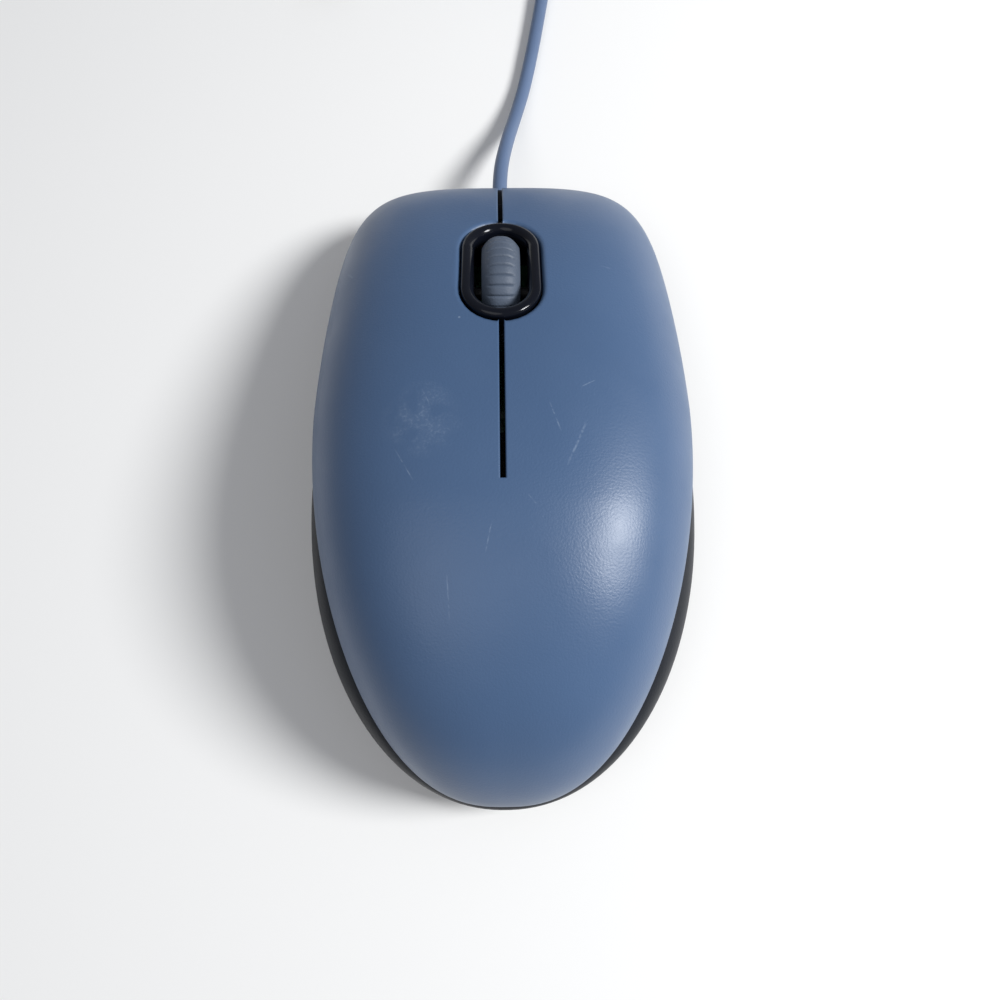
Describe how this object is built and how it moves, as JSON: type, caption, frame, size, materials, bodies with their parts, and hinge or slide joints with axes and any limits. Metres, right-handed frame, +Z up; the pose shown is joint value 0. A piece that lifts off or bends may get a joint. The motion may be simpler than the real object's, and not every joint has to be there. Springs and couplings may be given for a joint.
{
  "type": "computer mouse",
  "caption": "Wired optical computer mouse with a domed cover, sprung buttons, ridged scroll wheel, open-frame electronics and a coiled cord ending in a plug.",
  "frame": {"origin": "on the table under the middle of the body, cord left out", "axes": "+Y to the front, where the cord leaves; +X to the right; +Z up"},
  "size_m": [0.0788, 0.2278, 0.0379],
  "materials": {
    "cover_plastic": "satin slate blue-grey moulding with a fine grain",
    "base_plastic": "dark satin moulding",
    "gloss_black": "polished black",
    "wheel_rubber": "dull grey rubber with fine cross grooves",
    "hub_plastic": "plain moulded",
    "cord_jacket": "soft grey-blue jacket",
    "board_laminate": "solder mask",
    "switch_black": "plain moulded",
    "switch_white": "plain moulded",
    "switch_red": "moulded",
    "encoder_grey": "plain moulded",
    "clear_plastic": "clear moulded optics",
    "led_red": "tinted epoxy",
    "steel": "plated steel",
    "gold": "gold-plated contact",
    "slick_foot": "low-friction pad",
    "label_paper": "blank label film",
    "capacitor_sleeve": "printed-free sleeve",
    "wire_red": "wire insulation",
    "wire_white": "wire insulation",
    "wire_green": "wire insulation",
    "wire_black": "wire insulation"
  },
  "bodies": {
    "case": {"base_shell": "base_plastic", "palm_cover": "cover_plastic", "wheel_bezel": "gloss_black", "encoder_housing": "encoder_grey", "middle_switch_body": "switch_black", "circuit_board": "board_laminate", "left_switch_body": "switch_black", "right_switch_body": "switch_black", "sensor_chip": "switch_black", "sensor_lens": "clear_plastic", "sensor_led": "led_red", "led_clip": "switch_black", "board_capacitor": "capacitor_sleeve", "board_crystal": "steel", "board_header": "switch_white", "header_plug": "switch_white", "cable_grommet": "base_plastic", "wire_1": "wire_red", "wire_2": "wire_white", "wire_3": "wire_green", "wire_4": "wire_black", "usb_cable": "cord_jacket", "usb_cable_tail": "cord_jacket", "cable_coil": "cord_jacket", "cable_tie": "base_plastic", "usb_plug_body": "cord_jacket", "usb_plug_shell": "steel", "usb_plug_tongue": "switch_black", "usb_contact_1": "gold", "usb_contact_2": "gold", "usb_contact_3": "gold", "usb_contact_4": "gold", "case_screw": "steel", "front_foot": "slick_foot", "rear_foot": "slick_foot", "rating_label": "label_paper"},
    "left_button": {"left_button": "cover_plastic"},
    "right_button": {"right_button": "cover_plastic"},
    "left_plunger": {"left_switch_plunger": "switch_red"},
    "right_plunger": {"right_switch_plunger": "switch_red"},
    "wheel_rocker": {"middle_switch_stem": "switch_white"},
    "wheel": {"wheel_hub": "hub_plastic", "wheel_tyre": "wheel_rubber", "encoder_rotor": "switch_white"}
  },
  "joints": [
    {"name": "left_press", "type": "hinge", "parent": "case", "child": "left_button", "pos_m": [-0.016, -0.009, 0.03], "axis": [-1, 0, 0], "range_deg": [0, 0.5], "stiffness_Nm_per_rad": 1.5, "springref_deg": -0.34},
    {"name": "left_click", "type": "slide", "parent": "case", "child": "left_plunger", "axis": [0, 0, -1], "range_m": [0, 0.00045]},
    {"name": "right_press", "type": "hinge", "parent": "case", "child": "right_button", "pos_m": [0.016, -0.009, 0.03], "axis": [-1, 0, 0], "range_deg": [0, 0.5], "stiffness_Nm_per_rad": 1.5, "springref_deg": -0.34},
    {"name": "right_click", "type": "slide", "parent": "case", "child": "right_plunger", "axis": [0, 0, -1], "range_m": [0, 0.00045]},
    {"name": "wheel_press", "type": "hinge", "parent": "case", "child": "wheel_rocker", "pos_m": [-0.01, 0.0276, 0.0226], "axis": [0, 1, 0], "range_deg": [0, 1], "stiffness_Nm_per_rad": 1, "springref_deg": -0.23},
    {"name": "wheel_spin", "type": "hinge", "parent": "wheel_rocker", "child": "wheel", "pos_m": [0, 0.0276, 0.0226], "axis": [1, 0, 0], "continuous": true}
  ],
  "couplings": [
    {"joint": "left_click", "follows": "left_press", "m_per_rad": 0.047},
    {"joint": "right_click", "follows": "right_press", "m_per_rad": 0.047}
  ]
}
